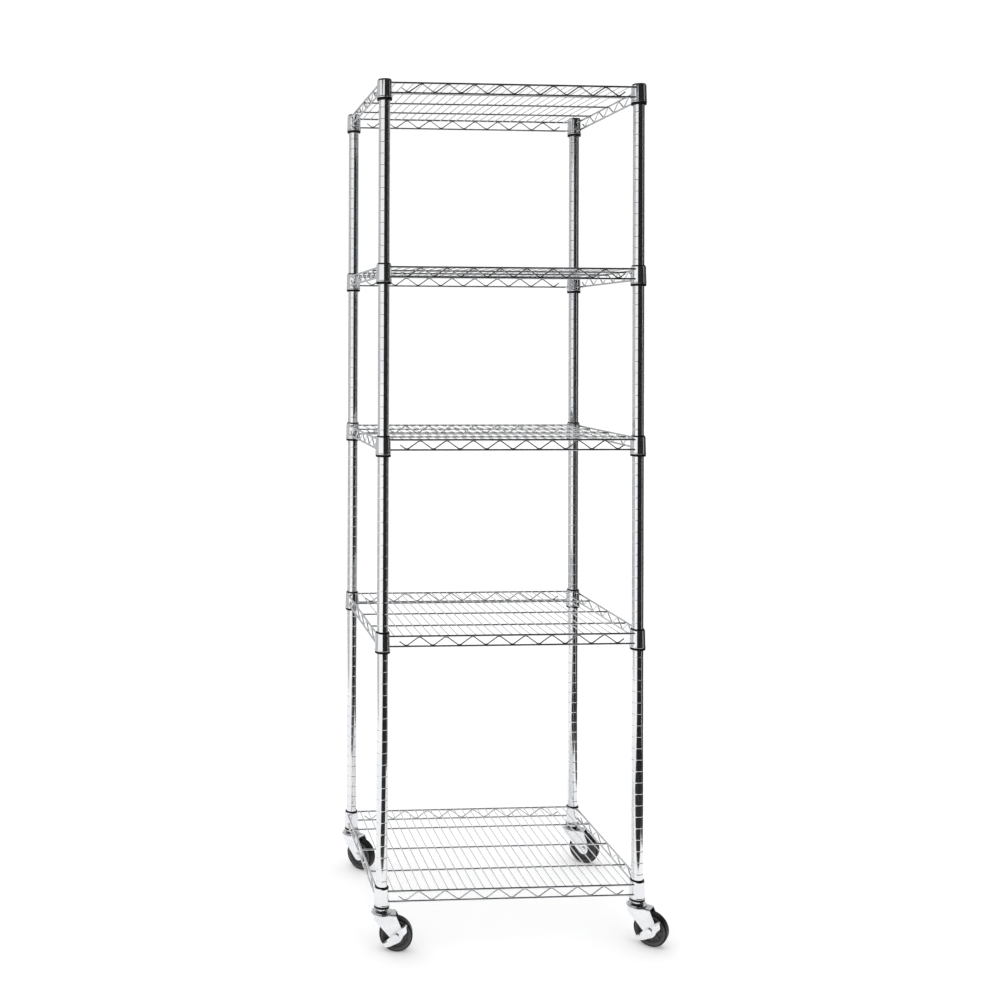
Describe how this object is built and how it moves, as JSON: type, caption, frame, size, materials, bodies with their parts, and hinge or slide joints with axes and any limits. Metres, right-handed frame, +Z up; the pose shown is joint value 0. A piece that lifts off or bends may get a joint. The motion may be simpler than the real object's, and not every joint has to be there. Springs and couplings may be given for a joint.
{
  "type": "wire shelving rack",
  "caption": "Tall open shelving rack of chromed wire shelves on four round posts, with swivel casters at the feet and brake levers on the front pair.",
  "frame": {"origin": "bottom centre of the bounding box, on the floor plane under the wheels", "axes": "+Z up along the posts, +X along the long side of the shelves to the viewer's right, +Y from the front towards the back"},
  "size_m": [0.6606, 0.5004, 1.9163],
  "materials": {
    "chrome_post": "polished chrome plate on grooved steel tube",
    "chrome_wire": "polished chrome plate on welded steel wire",
    "zinc_steel": "bright zinc plate on pressed steel",
    "sleeve_plastic": "black moulded plastic",
    "cap_plastic": "dark moulded plastic with a soft gloss",
    "wheel_tread": "dark grey-black moulded tread",
    "wheel_core": "black moulded plastic"
  },
  "bodies": {
    "rack": {"post_front_left": "chrome_post", "post_cap_front_left": "cap_plastic", "caster_stem_front_left": "zinc_steel", "sleeve_1_front_left": "sleeve_plastic", "sleeve_2_front_left": "sleeve_plastic", "sleeve_3_front_left": "sleeve_plastic", "sleeve_4_front_left": "sleeve_plastic", "sleeve_5_front_left": "sleeve_plastic", "post_front_right": "chrome_post", "post_cap_front_right": "cap_plastic", "caster_stem_front_right": "zinc_steel", "sleeve_1_front_right": "sleeve_plastic", "sleeve_2_front_right": "sleeve_plastic", "sleeve_3_front_right": "sleeve_plastic", "sleeve_4_front_right": "sleeve_plastic", "sleeve_5_front_right": "sleeve_plastic", "post_back_left": "chrome_post", "post_cap_back_left": "cap_plastic", "caster_stem_back_left": "zinc_steel", "sleeve_1_back_left": "sleeve_plastic", "sleeve_2_back_left": "sleeve_plastic", "sleeve_3_back_left": "sleeve_plastic", "sleeve_4_back_left": "sleeve_plastic", "sleeve_5_back_left": "sleeve_plastic", "post_back_right": "chrome_post", "post_cap_back_right": "cap_plastic", "caster_stem_back_right": "zinc_steel", "sleeve_1_back_right": "sleeve_plastic", "sleeve_2_back_right": "sleeve_plastic", "sleeve_3_back_right": "sleeve_plastic", "sleeve_4_back_right": "sleeve_plastic", "sleeve_5_back_right": "sleeve_plastic", "shelf_1": "chrome_wire", "shelf_2": "chrome_wire", "shelf_3": "chrome_wire", "shelf_4": "chrome_wire", "shelf_5": "chrome_wire"},
    "fork_front_left": {"caster_fork_front_left": "zinc_steel", "axle_bolt_front_left": "zinc_steel", "axle_nut_front_left": "zinc_steel"},
    "wheel_front_left": {"wheel_tyre_front_left": "wheel_tread", "wheel_hub_front_left": "wheel_core"},
    "brake_front_left": {"brake_lever_front_left": "zinc_steel"},
    "fork_front_right": {"caster_fork_front_right": "zinc_steel", "axle_bolt_front_right": "zinc_steel", "axle_nut_front_right": "zinc_steel"},
    "wheel_front_right": {"wheel_tyre_front_right": "wheel_tread", "wheel_hub_front_right": "wheel_core"},
    "brake_front_right": {"brake_lever_front_right": "zinc_steel"},
    "fork_back_left": {"caster_fork_back_left": "zinc_steel", "axle_bolt_back_left": "zinc_steel", "axle_nut_back_left": "zinc_steel"},
    "wheel_back_left": {"wheel_tyre_back_left": "wheel_tread", "wheel_hub_back_left": "wheel_core"},
    "fork_back_right": {"caster_fork_back_right": "zinc_steel", "axle_bolt_back_right": "zinc_steel", "axle_nut_back_right": "zinc_steel"},
    "wheel_back_right": {"wheel_tyre_back_right": "wheel_tread", "wheel_hub_back_right": "wheel_core"}
  },
  "joints": [
    {"name": "swivel_front_left", "type": "hinge", "parent": "rack", "child": "fork_front_left", "pos_m": [-0.30717, -0.19694, 0.08], "axis": [0, 0, 1], "continuous": true},
    {"name": "roll_front_left", "type": "hinge", "parent": "fork_front_left", "child": "wheel_front_left", "pos_m": [-0.27636, -0.20349, 0.0365], "axis": [0.2079, 0.9781, 0], "continuous": true},
    {"name": "brake_press_front_left", "type": "hinge", "parent": "fork_front_left", "child": "brake_front_left", "pos_m": [-0.27636, -0.20349, 0.0365], "axis": [0.2079, 0.9781, 0], "range_deg": [0, 38]},
    {"name": "swivel_front_right", "type": "hinge", "parent": "rack", "child": "fork_front_right", "pos_m": [0.26943, -0.19694, 0.08], "axis": [0, 0, 1], "continuous": true},
    {"name": "roll_front_right", "type": "hinge", "parent": "fork_front_right", "child": "wheel_front_right", "pos_m": [0.29425, -0.21633, 0.0365], "axis": [0.6157, 0.788, 0], "continuous": true},
    {"name": "brake_press_front_right", "type": "hinge", "parent": "fork_front_right", "child": "brake_front_right", "pos_m": [0.29425, -0.21633, 0.0365], "axis": [0.6157, 0.788, 0], "range_deg": [0, 38]},
    {"name": "swivel_back_left", "type": "hinge", "parent": "rack", "child": "fork_back_left", "pos_m": [-0.30717, 0.22706, 0.08], "axis": [0, 0, 1], "continuous": true},
    {"name": "roll_back_left", "type": "hinge", "parent": "fork_back_left", "child": "wheel_back_left", "pos_m": [-0.28529, 0.2044, 0.0365], "axis": [0.7193, 0.6947, 0], "continuous": true},
    {"name": "swivel_back_right", "type": "hinge", "parent": "rack", "child": "fork_back_right", "pos_m": [0.26943, 0.22706, 0.08], "axis": [0, 0, 1], "continuous": true},
    {"name": "roll_back_right", "type": "hinge", "parent": "fork_back_right", "child": "wheel_back_right", "pos_m": [0.29523, 0.20899, 0.0365], "axis": [0.5736, 0.8192, 0], "continuous": true}
  ]
}
